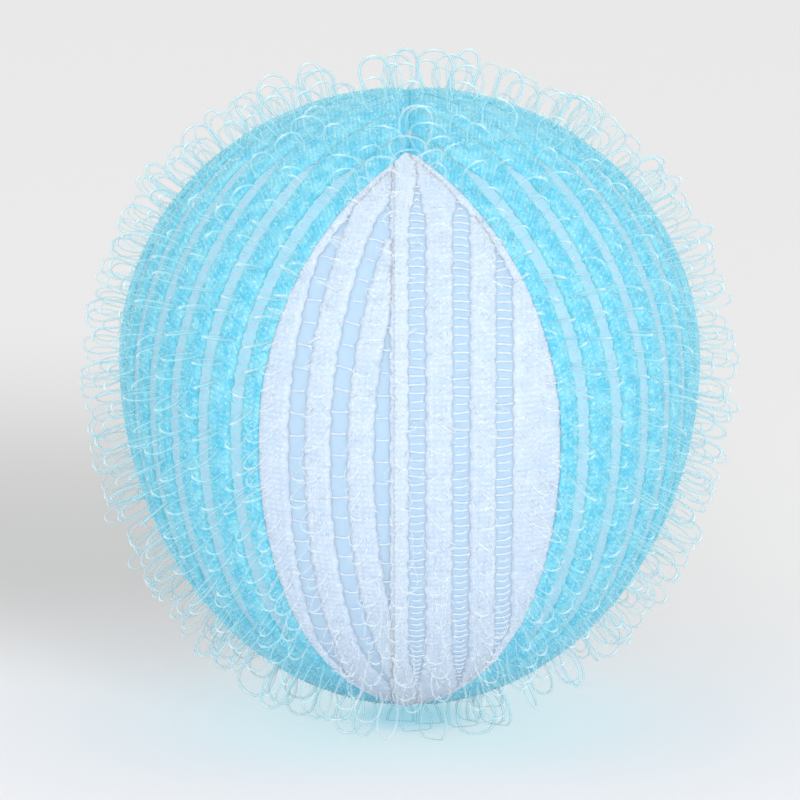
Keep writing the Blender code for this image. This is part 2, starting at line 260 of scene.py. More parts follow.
def blue_tape():
    """The gore at the front right."""
    centres = ladder_middles((UPRIGHT - LENS_HALF_WIDTH) * BODY_RADIUS, FIRST_LADDER)
    half = BLUE_LADDER / BODY_RADIUS / 2
    margin = SELVEDGE / BODY_RADIUS

    def edges(turn):
        return lens_edge_from_axis(turn, SEAM_ANGLE), side_seam_from_axis(turn) - SEAM_ANGLE

    def ladders(turn):
        low, high = edges(turn)
        found = []
        for centre in centres:
            open_half = half * openness(polar(turn, lens_edge_from_axis(turn, centre)), BLUE_GATHERS)
            sides = (lens_edge_from_axis(turn, centre + way * open_half) for way in (-1, 1))
            found.append(tuple(np.clip(side, low + margin, high - margin) for side in sides))
        return found

    def spread(turn):
        return np.full_like(turn, 1 / BODY_RADIUS)

    return Tape(polar, edges, ladders, spread, UPRIGHT - SEAM_ANGLE, 0.0, SEAM_DIP)


def white_tape(side):
    """A tape of the front lens: side -1 is the left one, laid at a turn, and 1 the straight right one."""
    turn = LEFT_TAPE_TURN if side < 0 else 0.0
    first = LEFT_BAND_SHOWN if side < 0 else BAND_PITCH / 2
    width = LENS_HALF_WIDTH * BODY_RADIUS - side * LENS_JOIN
    centres = sorted(LENS_JOIN / BODY_RADIUS + side * c for c in ladder_middles(width, first))
    half = WHITE_LADDER / BODY_RADIUS / 2

    def edges(rise):
        rim = lens_edge_azimuth(rise, -SEAM_ANGLE)
        if side < 0:
            return -rim, np.minimum(join_azimuth(rise, LAP_UNDER), rim)
        return np.maximum(join_azimuth(rise), -rim), rim

    def carried(azimuth, rise):
        return np.arcsin(np.clip(np.sin(azimuth + turn) / np.cos(rise), -1, 1)) - turn

    def spread(rise):
        return 1 / (BODY_RADIUS * np.cos(rise))

    def ladders(rise):
        low, high = edges(rise)
        margin = np.minimum(SELVEDGE * spread(rise), (high - low) / 2)
        found = []
        for centre in centres:
            open_half = half * openness(latitude(rise, carried(centre, rise)), WHITE_GATHERS)
            sides = (carried(centre + way * open_half, rise) for way in (-1, 1))
            found.append(tuple(np.clip(bound, low + margin, high - margin) for bound in sides))
        return found

    lap = LAP_LIFT if side > 0 else 0.0
    return Tape(latitude, edges, ladders, spread, LENS_HALF_HEIGHT, lap, 0.0)


def travelled_along(points):
    steps = np.linalg.norm(np.diff(points, axis=0), axis=1)
    return np.concatenate(((0.0,), np.cumsum(steps)))


def trace(tape, sides, least, step):
    """Even steps along a band or a ladder, for as long as the cut edges leave it the least width."""
    along = np.linspace(-tape.end, tape.end, TRACE_STEPS)
    low, high = tape.edges(along)
    left, right = (np.clip(side, low, high) for side in sides(along))
    there = np.flatnonzero((right - left) / tape.spread(along) > least)
    if len(there) < 2:
        return None
    kept = slice(there[0], there[-1] + 1)
    distance = travelled_along(on_cover(tape.point_at(along, (left + right) / 2)[kept]))
    rows = np.linspace(0, distance[-1], max(3, ceil(distance[-1] / step)))
    return Run(*(np.interp(rows, distance, values[kept]) for values in (along, left, right)), rows)


def bands_of(tape):
    """For each dense band a function that gives its two sides before they are cut."""

    def sides(number):
        def at(along):
            low, high = tape.edges(along)
            ladders = tape.ladders(along)
            start = ladders[number - 1][1] if number else low
            stop = ladders[number][0] if number < len(ladders) else high
            return start, stop

        return at

    return [sides(number) for number in range(len(tape.ladders(np.zeros(1))) + 1)]


def ladders_of(tape):
    return [
        lambda along, number=number: tape.ladders(along)[number]
        for number in range(len(tape.ladders(np.zeros(1))))
    ]


def band_body(tape, number, sides, run):
    """A band's closed strip: rows of points over its crowned face and back along its underside."""
    share = np.concatenate((np.linspace(0, 1, BAND_COLUMNS + 1), np.linspace(1, 0, UNDERSIDE_COLUMNS + 1)))
    aside = np.abs(np.linspace(-1, 1, BAND_COLUMNS + 1))
    face = np.concatenate((1 - aside ** FACE_POWER, np.zeros(UNDERSIDE_COLUMNS + 1)))
    crown = np.concatenate((
        BAND_CROWN - (BAND_CROWN + BAND_FOOT) * aside ** CROWN_POWER,
        np.full(UNDERSIDE_COLUMNS + 1, -BAND_THICKNESS),
    ))
    along = np.repeat(run.along[:, None], len(share), axis=1)
    across = run.left[:, None] + (run.right - run.left)[:, None] * share
    low, high = tape.edges(along)
    spread = tape.spread(along)
    wander = sum(np.sin(along * rate + number * start) for rate, start in SIDE_WAVES)
    across = across + spread * (EDGE_WANDER * wander + BAND_FLARE) * (2 * share - 1)
    across = np.clip(across, low, high)
    lifted = tape.lap * np.clip(1 - (across - low) / spread / LAP_WIDTH, 0, 1)
    direction = tape.point_at(along, across)
    dipped = tape.dip * np.exp(-((direction[..., 0] * BODY_RADIUS / SEAM_REACH) ** 2))
    whole = sides(along)
    fixed = whole[0] if number else whole[1]
    return {
        "direction": direction,
        "rise": crown + lifted - dipped,
        "face": np.broadcast_to(face, across.shape),
        "across": (across - fixed) / spread,
        "along": np.repeat(run.travelled[:, None], len(share), axis=1),
    }


def band_mesh(name, tape, mirror):
    """All the dense bands of a tape as one mesh, with what its stitches need kept on its points."""
    points, faces, normals, kept = [], [], [], {"face": [], "across": [], "along": []}
    count = 0
    for number, sides in enumerate(bands_of(tape)):
        run = trace(tape, sides, LEAST_BAND, ROW_STEP)
        if run is None:
            continue
        body = band_body(tape, number, sides, run)
        rows, ring = body["rise"].shape
        points.append((on_cover(body["direction"], body["rise"]) * mirror).reshape(-1, 3))
        normals.append((outward(body["direction"]) * mirror).reshape(-1, 3))
        for key in kept:
            kept[key].append(body[key].ravel())
        index = count + np.arange(rows * ring).reshape(rows, ring)
        after = np.roll(index, -1, axis=1)
        quads = np.stack((index[:-1], after[:-1], after[1:], index[1:]), axis=-1).reshape(-1, 4)
        faces += quads.tolist() + [index[0, ::-1].tolist(), index[-1].tolist()]
        count += rows * ring
    mesh = bpy.data.meshes.new(name)
    mesh.from_pydata(np.concatenate(points), [], faces)
    store(mesh, "outward", np.concatenate(normals))
    for key, values in kept.items():
        store(mesh, key, np.concatenate(values))
    face_outwards(mesh)
    return mesh


def store(mesh, name, values):
    """Keeps a number or a vector for each point of a mesh."""
    kind, key = ("FLOAT_VECTOR", "vector") if values.ndim > 1 else ("FLOAT", "value")
    mesh.attributes.new(name, kind, "POINT").data.foreach_set(key, values.astype(np.float32).ravel())


def face_outwards(mesh):
    shell = bmesh.new()
    shell.from_mesh(mesh)
    bmesh.ops.recalc_face_normals(shell, faces=shell.faces)
    shell.to_mesh(mesh)
    shell.free()


def line_mesh(name, lines, mirror):
    """Lines for a tree to follow, each a row of points with the cover's normals and spans across."""
    points, edges, count = [], [], 0
    for line in lines:
        rows = len(line[0])
        points.append(line[0] * mirror)
        edges += [(count + row, count + row + 1) for row in range(rows - 1)]
        count += rows
    mesh = bpy.data.meshes.new(name)
    mesh.from_pydata(np.concatenate(points), edges, [])
    store(mesh, "outward", np.concatenate([line[1] * mirror for line in lines]))
    store(mesh, "span", np.concatenate([line[2] * mirror for line in lines]))
    return mesh


def traced_line(tape, run, level=0.0):
    """A line along a band or ladder, its normals, and the vectors from its left side to its right."""
    middle = tape.point_at(run.along, (run.left + run.right) / 2)
    span = on_cover(tape.point_at(run.along, run.right)) - on_cover(tape.point_at(run.along, run.left))
    return on_cover(middle, level), outward(middle), span


def wire_mesh(name, outline, radius, sides=4, glint=0.0):
    """A closed wire through points (x, z) of the plane y = 0, marked where its top catches the light."""
    line = np.array([(x, 0.0, z) for x, z in outline])
    ahead = np.gradient(line, axis=0)
    ahead /= np.linalg.norm(ahead, axis=1, keepdims=True)
    up = np.cross(ahead, (0, 1, 0))
    turns = 2 * pi * np.arange(sides) / sides
    rings = line[:, None] + radius * (
        np.cos(turns)[:, None] * up[:, None] + np.sin(turns)[:, None] * np.array((0, 1, 0))
    )
    index = np.arange(len(line) * sides).reshape(-1, sides)
    after = np.roll(index, -1, axis=1)
    quads = np.stack((index[:-1], after[:-1], after[1:], index[1:]), axis=-1).reshape(-1, 4)
    mesh = bpy.data.meshes.new(name)
    mesh.from_pydata(rings.reshape(-1, 3), [], quads.tolist() + [index[0, ::-1].tolist(), index[-1].tolist()])
    top = line[np.argmax(line[:, 2])]
    away = np.linalg.norm(line - top, axis=1)
    store(mesh, "tip", np.repeat(np.exp(-((away / glint) ** 2)) if glint else 0.0 * away, sides))
    face_outwards(mesh)
    return bpy.data.objects.new(name, mesh)


def new_tree(name, sockets):
    """A Geometry Nodes tree with named inputs, and its input sockets by name."""
    tree = bpy.data.node_groups.new(name, "GeometryNodeTree")
    for socket, kind in {"Geometry": "Geometry", **sockets}.items():
        tree.interface.new_socket(socket, in_out="INPUT", socket_type="NodeSocket" + kind)
    tree.interface.new_socket("Geometry", in_out="OUTPUT", socket_type="NodeSocketGeometry")
    given = tree.nodes.new("NodeGroupInput").outputs
    return tree, given


def run_tree(tree, mesh, values):
    """The plain mesh that a tree makes of another mesh."""
    guide = bpy.data.objects.new("guide", mesh)
    bpy.context.scene.collection.objects.link(guide)
    modifier = guide.modifiers.new(tree.name, "NODES")
    modifier.node_group = tree
    for item in tree.interface.items_tree:
        if item.in_out == "INPUT" and item.name in values:
            modifier[item.identifier] = values[item.name]
    depsgraph = bpy.context.evaluated_depsgraph_get()
    made = bpy.data.meshes.new_from_object(guide.evaluated_get(depsgraph), depsgraph=depsgraph)
    bpy.data.objects.remove(guide, do_unlink=True)
    return made


def named(tree, name, kind="FLOAT"):
    return node(tree, "GeometryNodeInputNamedAttribute", name, data_type=kind).outputs[0]


def vector_calc(tree, operation, *vectors):
    """What a Vector Math node works out."""
    return node(tree, "ShaderNodeVectorMath", *vectors, operation=operation).outputs[0]


def scaled(tree, vector, share):
    made = node(tree, "ShaderNodeVectorMath", vector, operation="SCALE")
    tree.links.new(share, made.inputs["Scale"])
    return made.outputs[0]


def spaced_out(tree, lines, pitch):
    """The lines as curves with a point at every pitch."""
    curves = node(tree, "GeometryNodeMeshToCurve", lines)
    return node(tree, "GeometryNodeResampleCurve", curves, None, pitch, mode="LENGTH").outputs[0]


def aside_of_line(tree):
    """The direction on the cover that is square to a line."""
    tangent = node(tree, "GeometryNodeInputTangent")
    return vector_calc(tree, "CROSS_PRODUCT", tangent, named(tree, "outward", "FLOAT_VECTOR"))


def standing_on(tree, outward_from, along):
    """The turn of what stands on the cover, with its X along a given vector."""
    axes = node(tree, "FunctionNodeAxesToRotation", outward_from, along, primary_axis="Z", secondary_axis="X")
    return axes.outputs[0]


def by_chance(tree, least, most, seed, kind="FLOAT"):
    """A random value between two others, drawn for each point."""
    drawn = node(tree, "FunctionNodeRandomValue", least, most, None, seed, data_type=kind)
    return next(socket for socket in drawn.outputs if socket.enabled)


def turned_at_random(tree, turn, most, seed):
    """A turn with a random one added, up to an angle about each axis."""
    least = vector_calc(tree, "MULTIPLY", most, (-1, -1, -1))
    chance = by_chance(tree, least, most, seed, "FLOAT_VECTOR")
    change = node(tree, "FunctionNodeEulerToRotation", chance)
    return node(tree, "FunctionNodeRotateRotation", turn, change, rotation_space="LOCAL").outputs[0]


# One tree knits a tape: it presses chain stitches into the bands, grows fine fuzz on them, and lays a
# thread or a cell of thin knitting over each ladder at every pick.
WALE = 0.00038
STITCH = 0.00034
STITCH_RELIEF = 0.00007
STITCH_SLANT = 0.55
LEG_POWER = 0.7
RIDGE_POWER = 3.0
UNEVEN_SCALE = 1500.0
UNEVENNESS = 0.6
LONGEST_PICK = 1.05
SHIFT_SEED = 5
FUZZ_DENSITY = 1.2e6
FUZZ_TURN = (0.9, 0.9, pi)
knit, given = new_tree("knit_tape", {
    "Ladders": "Object",
    "Pick": "Object",
    "Pick Pitch": "Float",
    "Pick Width": "Float",
    "Shortest Pick": "Float",
    "Round Picks": "Bool",
    "Wale": "Float",
    "Stitch": "Float",
    "Relief": "Float",
    "Skew": "Vector",
    "Seed": "Int",
    "Fibre": "Object",
    "Fuzz Density": "Float",
    "Yarn": "Material",
    "Cross Nylon": "Material",
    "Fuzz": "Material",
})
wale = calc(knit, "DIVIDE", named(knit, "across"), given["Wale"])
centred = calc(knit, "SUBTRACT", calc(knit, "FRACT", wale), 0.5)
aside = calc(knit, "MULTIPLY", calc(knit, "ABSOLUTE", centred), 2.0)
row = calc(knit, "DIVIDE", named(knit, "along"), given["Stitch"])
phase = calc(knit, "MULTIPLY_ADD", aside, STITCH_SLANT, row)
leg = calc(knit, "COSINE", calc(knit, "MULTIPLY", phase, 2 * pi))
leg = calc(knit, "MULTIPLY_ADD", leg, 0.5, 0.5)
ridge = calc(knit, "SUBTRACT", 1.0, calc(knit, "POWER", aside, RIDGE_POWER))
stitch = calc(knit, "MULTIPLY", calc(knit, "POWER", leg, LEG_POWER), ridge)
uneven = node(knit, "ShaderNodeTexNoise", None, UNEVEN_SCALE, 2.0)
lifted = calc(knit, "MULTIPLY_ADD", uneven, UNEVENNESS, stitch)
lifted = calc(knit, "MULTIPLY", lifted, given["Relief"])
lifted = calc(knit, "MULTIPLY", lifted, named(knit, "face"))
walls = calc(knit, "SUBTRACT", 1.0, named(knit, "face"))
# relief is low in the stitches' valleys and full on their ridges and on the walls; the yarn material paints
# shade where it is low.
shown = calc(knit, "MAXIMUM", stitch, walls)
bands = node(
    knit, "GeometryNodeStoreNamedAttribute", given["Geometry"], None, "relief", shown, data_type="FLOAT"
)
offset = scaled(knit, named(knit, "outward", "FLOAT_VECTOR"), lifted)
bands = node(knit, "GeometryNodeSetPosition", bands, None, None, offset)
bands = node(knit, "GeometryNodeSetMaterial", bands, None, given["Yarn"])
bands = node(knit, "GeometryNodeSetShadeSmooth", bands)
ladders = node(knit, "GeometryNodeObjectInfo", given["Ladders"])
ladders = spaced_out(knit, ladders.outputs["Geometry"], given["Pick Pitch"])
straight = aside_of_line(knit)
span = named(knit, "span", "FLOAT_VECTOR")
width = node(knit, "ShaderNodeVectorMath", span, straight, operation="DOT_PRODUCT").outputs["Value"]
width = calc(knit, "ABSOLUTE", width)
part = by_chance(knit, given["Shortest Pick"], LONGEST_PICK, given["Seed"])
beside = calc(knit, "MULTIPLY", calc(knit, "SUBTRACT", LONGEST_PICK, part), width)
beside = calc(knit, "MULTIPLY", beside, by_chance(knit, -0.5, 0.5, SHIFT_SEED))
shift = scaled(knit, straight, beside)
width = calc(knit, "MULTIPLY", width, part)
turn = standing_on(knit, named(knit, "outward", "FLOAT_VECTOR"), straight)
turn = turned_at_random(knit, turn, given["Skew"], given["Seed"])
size = node(knit, "ShaderNodeCombineXYZ", width, given["Pick Width"], 1.0)
strand = node(knit, "GeometryNodeObjectInfo", given["Pick"]).outputs["Geometry"]
picks = node(knit, "GeometryNodeInstanceOnPoints", ladders, None, strand, None, None, turn, size)
picks = node(knit, "GeometryNodeTranslateInstances", picks, None, shift, False)
picks = node(knit, "GeometryNodeRealizeInstances", picks)
picks = node(knit, "GeometryNodeSetMaterial", picks, None, given["Cross Nylon"])
picks = node(knit, "GeometryNodeSetShadeSmooth", picks, None, given["Round Picks"])
shown = calc(knit, "MULTIPLY", given["Fuzz Density"], named(knit, "face"))
fuzz = node(knit, "GeometryNodeDistributePointsOnFaces", bands, distribute_method="RANDOM")
knit.links.new(shown, fuzz.inputs["Density"])
knit.links.new(given["Seed"], fuzz.inputs["Seed"])
turn = turned_at_random(knit, fuzz.outputs["Rotation"], FUZZ_TURN, given["Seed"])
fibre = node(knit, "GeometryNodeObjectInfo", given["Fibre"]).outputs["Geometry"]
fuzz = node(knit, "GeometryNodeInstanceOnPoints", fuzz.outputs["Points"], None, fibre, None, None, turn)
fuzz = node(knit, "GeometryNodeRealizeInstances", fuzz)
fuzz = node(knit, "GeometryNodeSetMaterial", fuzz, None, given["Fuzz"])
fuzz = node(knit, "GeometryNodeSetShadeSmooth", fuzz, None, False)
tape_parts = node(knit, "GeometryNodeJoinGeometry")
for made in (fuzz, picks, bands):
    knit.links.new(made.outputs[0], tape_parts.inputs[0])
node(knit, "NodeGroupOutput", tape_parts)

# The looks of the threads. Textured yarn and sewing thread are fluffy and scatter light, so they are nearly
# matt, with painted shade down between the stitches and in the drawn-in seams, and painted glint flecks.
# Drawn nylon is smooth and half clear, with glints painted at the tops of its loops.
YARN_FIBRE = 0.00011
BLUE_YARN = (0.28, 0.70, 0.83, 1)
# The darker yarn colours give both random darker patches and the painted shade down in the stitches' valleys.
BLUE_YARN_DEEP_AND_SHADE = (0.11, 0.55, 0.75, 1)
# Painted shade in the drawn-in top and bottom seams of the blue gores.
BLUE_YARN_SEAM_SHADE = (0.10, 0.55, 0.77, 1)
WHITE_YARN = (0.60, 0.70, 0.82, 1)
WHITE_YARN_DEEP_AND_SHADE = (0.52, 0.64, 0.78, 1)
# The fuzz is painted much paler than the yarn it comes from: painted highlights on its loose fibres.
BLUE_FUZZ_LIT = (0.58, 0.90, 0.96, 1)
WHITE_FUZZ_LIT = (0.92, 0.95, 0.98, 1)
BLUE_DRAWN = (0.34, 0.72, 0.81, 1)
CLEAR_DRAWN = (0.78, 0.88, 0.94, 1)
GLINT = (0.74, 0.91, 0.94, 1)
BLUE_CROSS = (0.23, 0.62, 0.77, 1)
WHITE_CROSS = (0.74, 0.82, 0.91, 1)
BLUE_SEWING = (0.20, 0.62, 0.80, 1)
WHITE_SEWING = (0.60, 0.74, 0.88, 1)
PATCH_SCALE = 1300.0
# Painted glints: sparse pale flecks mixed into the yarn's colour where its fibres would catch the light.
GLINT_SPECK_SCALE = 6500.0
GLINT_SPECK_RANGE = (0.62, 0.74)
GLINT_SPECK_STRENGTH = 0.4
FIBRE_PART = 0.8
PATCH_PART = 2.5
RELIEF_PART = 0.4
DEEPENED = -1.4
YARN_ROUGHNESS = (0.75, 0.45)
YARN_BUMP = 0.5
DRAWN_ROUGHNESS = (0.25, 0.45)
NOISE_RANGE = (0.3, 0.7)
GLINT_SPECK_PALENESS = 0.5
PATCH_PALENESS = 0.25
SEAM_SHADE_REACH = 0.0013
TINT_SCALE = 700.0
TIP_ALPHA = 0.12


def shader_group(name, inputs, outputs):
    group = bpy.data.node_groups.new(name, "ShaderNodeTree")
    for socket, kind in inputs.items():
        group.interface.new_socket(socket, in_out="INPUT", socket_type="NodeSocket" + kind)
    for socket, kind in outputs.items():
        group.interface.new_socket(socket, in_out="OUTPUT", socket_type="NodeSocket" + kind)
    return group, group.nodes.new("NodeGroupInput").outputs


fluffy, given = shader_group(
    "fluffy_yarn",
    {"Light": "Color", "Deep And Shade": "Color", "Relief": "Float", "Fibre": "Float", "Glint": "Color"},
    {"Color": "Color", "Roughness": "Float", "Height": "Float"},
)
place = node(fluffy, "ShaderNodeTexCoord").outputs["Object"]
fineness = calc(fluffy, "DIVIDE", 1.0, given["Fibre"])
fibres = node(fluffy, "ShaderNodeTexNoise", place, fineness, 3.0, 0.6)
patches = node(fluffy, "ShaderNodeTexNoise", place, PATCH_SCALE, 2.0)
shade = calc(fluffy, "MULTIPLY_ADD", fibres, FIBRE_PART, DEEPENED)
shade = calc(fluffy, "MULTIPLY_ADD", patches, PATCH_PART, shade)
# Painted shade: where relief is low, in the stitches' valleys, the colour turns towards the darker one.
shade = calc(fluffy, "MULTIPLY_ADD", given["Relief"], RELIEF_PART, shade, use_clamp=True)
colour = mixed(fluffy, shade, given["Deep And Shade"], given["Light"])
# Painted glint flecks.
glint_specks = node(fluffy, "ShaderNodeTexNoise", place, GLINT_SPECK_SCALE, 0.0)
glint_specks = node(fluffy, "ShaderNodeMapRange", glint_specks, *GLINT_SPECK_RANGE, 0.0, GLINT_SPECK_STRENGTH)
glinted = mixed(fluffy, glint_specks, colour, given["Glint"])
rough = node(fluffy, "ShaderNodeMapRange", fibres, *NOISE_RANGE, *YARN_ROUGHNESS)
node(fluffy, "NodeGroupOutput", glinted, rough, fibres)


def paler(colour, share):
    """A colour taken part of the way to white."""
    return [part + (1 - part) * share for part in colour]


def smoothly(tree, value, *limits):
    """A Map Range node's result, eased at both ends."""
    return node(tree, "ShaderNodeMapRange", value, *limits, interpolation_type="SMOOTHSTEP").outputs[0]


def yarn_material(name, light, deep_and_shade, seam):
    """Textured thread: soft sheen, fibre bump, random darker patches, painted shade between the stitches and
    in the drawn-in pole seams, and painted glint flecks.
    """
    made, tree, shader = new_material(
        name, Sheen_Weight=0.2, Sheen_Roughness=0.4, Specular_IOR_Level=0.3,
        Subsurface_Weight=0.5, Subsurface_Radius=(0.8, 1.0, 1.0), Subsurface_Scale=0.0005,
    )
    relief = node(tree, "ShaderNodeAttribute", attribute_name="relief").outputs["Fac"]
    group = tree.nodes.new("ShaderNodeGroup")
    group.node_tree = fluffy
    group.inputs["Light"].default_value = light
    group.inputs["Deep And Shade"].default_value = deep_and_shade
    group.inputs["Fibre"].default_value = YARN_FIBRE
    group.inputs["Glint"].default_value = paler(light, GLINT_SPECK_PALENESS)
    tree.links.new(relief, group.inputs["Relief"])
    bump = node(tree, "ShaderNodeBump", YARN_BUMP, YARN_FIBRE / 3)
    tree.links.new(group.outputs["Height"], bump.inputs["Height"])
    place = node(tree, "ShaderNodeSeparateXYZ", node(tree, "ShaderNodeTexCoord").outputs["Object"])
    # Painted shade in the drawn-in pole seams: near x = 0 the colour turns to the seam colour.
    seam_shade = smoothly(tree, calc(tree, "ABSOLUTE", place.outputs["X"]), 0.0, SEAM_SHADE_REACH, 1.0, 0.0)
    tree.links.new(mixed(tree, seam_shade, group.outputs["Color"], seam), shader.inputs["Base Color"])
    tree.links.new(group.outputs["Roughness"], shader.inputs["Roughness"])
    tree.links.new(bump.outputs[0], shader.inputs["Normal"])
    return made


def drawn_material(name, tint, least, most):
    """Drawn nylon: its opacity runs from least in the middle to most at its sides, and its tint varies."""
    made, tree, shader = new_material(name, Specular_IOR_Level=0.5)
    place = node(tree, "ShaderNodeTexCoord").outputs["Object"]
    patches = node(tree, "ShaderNodeTexNoise", place, TINT_SCALE, 2.0)
    colour = mixed(tree, patches, tint, paler(tint, PATCH_PALENESS))
    # A painted highlight: at each loop's top the colour turns to the glint colour and the wire grows more
    # opaque.
    tip = node(tree, "ShaderNodeAttribute", attribute_name="tip").outputs["Fac"]
    tree.links.new(mixed(tree, tip, colour, GLINT), shader.inputs["Base Color"])
    rough = node(tree, "ShaderNodeMapRange", patches, *NOISE_RANGE, *DRAWN_ROUGHNESS).outputs[0]
    tree.links.new(rough, shader.inputs["Roughness"])
    rim = node(tree, "ShaderNodeLayerWeight", 0.5).outputs["Facing"]
    alpha = node(tree, "ShaderNodeMapRange", rim, 0.0, 1.0, least, most)
    alpha = calc(tree, "MULTIPLY_ADD", tip, TIP_ALPHA, alpha, use_clamp=True)
    inside = node(tree, "ShaderNodeNewGeometry").outputs["Backfacing"]
    alpha = calc(tree, "MULTIPLY", alpha, calc(tree, "SUBTRACT", 1.0, inside))
    tree.links.new(alpha, shader.inputs["Alpha"])
    return made


blue_yarn = yarn_material("blue_yarn", BLUE_YARN, BLUE_YARN_DEEP_AND_SHADE, BLUE_YARN_SEAM_SHADE)
white_yarn = yarn_material("white_yarn", WHITE_YARN, WHITE_YARN_DEEP_AND_SHADE, WHITE_YARN)
blue_drawn = drawn_material("blue_drawn_nylon", BLUE_DRAWN, 0.42, 0.54)
clear_drawn = drawn_material("clear_drawn_nylon", CLEAR_DRAWN, 0.24, 0.34)
blue_cross = drawn_material("blue_cross_nylon", BLUE_CROSS, 0.95, 1.0)
white_cross = drawn_material("white_cross_nylon", WHITE_CROSS, 0.7, 0.85)
blue_fuzz = drawn_material("blue_fuzz", BLUE_FUZZ_LIT, 0.4, 0.5)
white_fuzz = drawn_material("white_fuzz", WHITE_FUZZ_LIT, 0.4, 0.5)
blue_sewing = yarn_material("blue_sewing_thread", BLUE_SEWING, BLUE_SEWING, BLUE_YARN_SEAM_SHADE)
white_sewing = yarn_material("white_sewing_thread", WHITE_SEWING, WHITE_SEWING, WHITE_SEWING)

# The loops: drawn nylon wire knitted into the bands, which springs out in open pear shapes to catch
# hair. No two keep quite the same form, so four shapes are shared out by chance.
LOOP_WIRE = 0.00017
LOOP_PITCH = 0.0013
LOOP_DROOP = 0.15
POLE_SHARE = 0.45
LOOP_SINK = 0.0002
LOOP_LEAN = (radians(9), radians(8), radians(32))
LOOP_WANDER = (0.0006, 0.0002, 0.0)
LOOP_FLOOR = LOOP_WIRE / 2
LOOP_STEPS = 7
LOOP_GLINT = 0.00026
LOOP_ROW_STEP = 0.0002
LEAST_LOOP_BAND = 0.0006
LOOP_STAGGER = 0.43
FIRST_LOOP = 0.2
FIRST_LOOP_SPREAD = 0.6
LAST_LOOP = 0.3
LOOP_WAIST = 0.42
LOOP_SHOULDER = 0.72
LOOP_CROWN = 0.95
# Each form's height, width, foot and slump.
LOOP_FORMS = {
    "round_loop": (0.0024, 0.0018, 0.0007, 0.0),
    "pear_loop": (0.0026, 0.0015, 0.0006, 0.0),
    "narrow_loop": (0.0027, 0.0012, 0.0005, 0.0001),
    "bent_loop": (0.0022, 0.0014, 0.0006, -0.0002),
}


def loop_outline(height, width, foot, slump):
    """A pear outline from foot to foot: its wire swings out, then closes over the top."""
    reach = width * LOOP_SHOULDER
    top = Vector((slump, height, 0))
    left = interpolate_bezier(
        Vector((-foot / 2, -LOOP_SINK, 0)), Vector((-reach, height * LOOP_WAIST, 0)),
        top + Vector((-reach * LOOP_CROWN, 0, 0)), top, LOOP_STEPS,
    )
    right = interpolate_bezier(
        top, top + Vector((reach * LOOP_CROWN, 0, 0)),
        Vector((reach, height * LOOP_WAIST, 0)), Vector((foot / 2, -LOOP_SINK, 0)), LOOP_STEPS,
    )
    return [(point.x, point.y) for point in left + right[1:]]


loop_shapes = bpy.data.collections.new("loop_shapes")
for name, form in LOOP_FORMS.items():
    loop_shapes.objects.link(wire_mesh(name, loop_outline(*form), LOOP_WIRE / 2, glint=LOOP_GLINT))

# A tree raises the loops: along each band's middle it stands one at every pitch, with chance turns and
# leans. Those on the ball's sides face forward, the poles have fewer and wider ones, and those that the
# ball stands on are pressed flat.
SIDE_REGION = (0.25, 0.65)
POLE_REGION = (0.6, 0.87)
LOOP_BREADTH = 0.66
POLE_BREADTH = 0.44
STRAY_SEED = 7
SHARE_SEED_STEP = 20.0
raising, given = new_tree("raise_loops", {
    "Loop Shapes": "Collection",
    "Pitch": "Float",
    "Lean": "Vector",
    "Wander": "Vector",
    "Smallest": "Float",
    "Largest": "Float",
    "Floor Level": "Float",
    "Droop": "Float",
    "Pole Share": "Float",
    "Seed": "Int",
    "Nylon": "Material",
})
rows = spaced_out(raising, given["Geometry"], given["Pitch"])
straight = named(raising, "outward", "FLOAT_VECTOR")
around = vector_calc(raising, "CROSS_PRODUCT", (0, 1, 0), straight)
towards = node(raising, "ShaderNodeSeparateXYZ", straight)
middle = calc(raising, "ABSOLUTE", towards.outputs["Y"])
belt = node(raising, "ShaderNodeMapRange", middle, *SIDE_REGION, 1.0, 0.0)
sideways = node(raising, "ShaderNodeMix", belt, (1, 0, 0), around, data_type="VECTOR").outputs[1]
steep = calc(raising, "ABSOLUTE", towards.outputs["Z"])
poleward = node(raising, "ShaderNodeMapRange", steep, *POLE_REGION, 0.0, 1.0)
breadth = calc(raising, "MULTIPLY_ADD", poleward, POLE_BREADTH, LOOP_BREADTH)
fall = node(raising, "ShaderNodeCombineXYZ", 0.0, 0.0, given["Droop"])
drooping = vector_calc(raising, "SUBTRACT", straight, fall)
turn = standing_on(raising, drooping, sideways)
back = vector_calc(raising, "MULTIPLY", given["Wander"], (-1, -1, -1))
stray = by_chance(raising, back, given["Wander"], STRAY_SEED, "FLOAT_VECTOR")
stray = node(raising, "FunctionNodeRotateVector", stray, turn)
rows = node(raising, "GeometryNodeSetPosition", rows, None, None, stray)
turn = turned_at_random(raising, turn, given["Lean"], given["Seed"])
size = by_chance(raising, given["Smallest"], given["Largest"], given["Seed"])
width = calc(raising, "MULTIPLY", size, breadth)
size = node(raising, "ShaderNodeCombineXYZ", width, size, size)
choice = by_chance(raising, 0, len(LOOP_FORMS) - 1, given["Seed"], "INT")
shapes = node(raising, "GeometryNodeCollectionInfo", given["Loop Shapes"], True, True)
share = node(raising, "ShaderNodeMapRange", poleward, 0.0, 1.0, 1.0, given["Pole Share"])
draw = calc(raising, "ADD", given["Seed"], SHARE_SEED_STEP)
chance = by_chance(raising, 0.0, 1.0, draw)
kept = node(raising, "FunctionNodeCompare", chance, share, data_type="FLOAT", operation="LESS_THAN")
loops = node(raising, "GeometryNodeInstanceOnPoints", rows, kept, shapes, True, choice, turn, size)
loops = node(raising, "GeometryNodeRealizeInstances", loops)
spot = node(raising, "ShaderNodeSeparateXYZ", node(raising, "GeometryNodeInputPosition"))
level = calc(raising, "MAXIMUM", spot.outputs["Z"], given["Floor Level"])
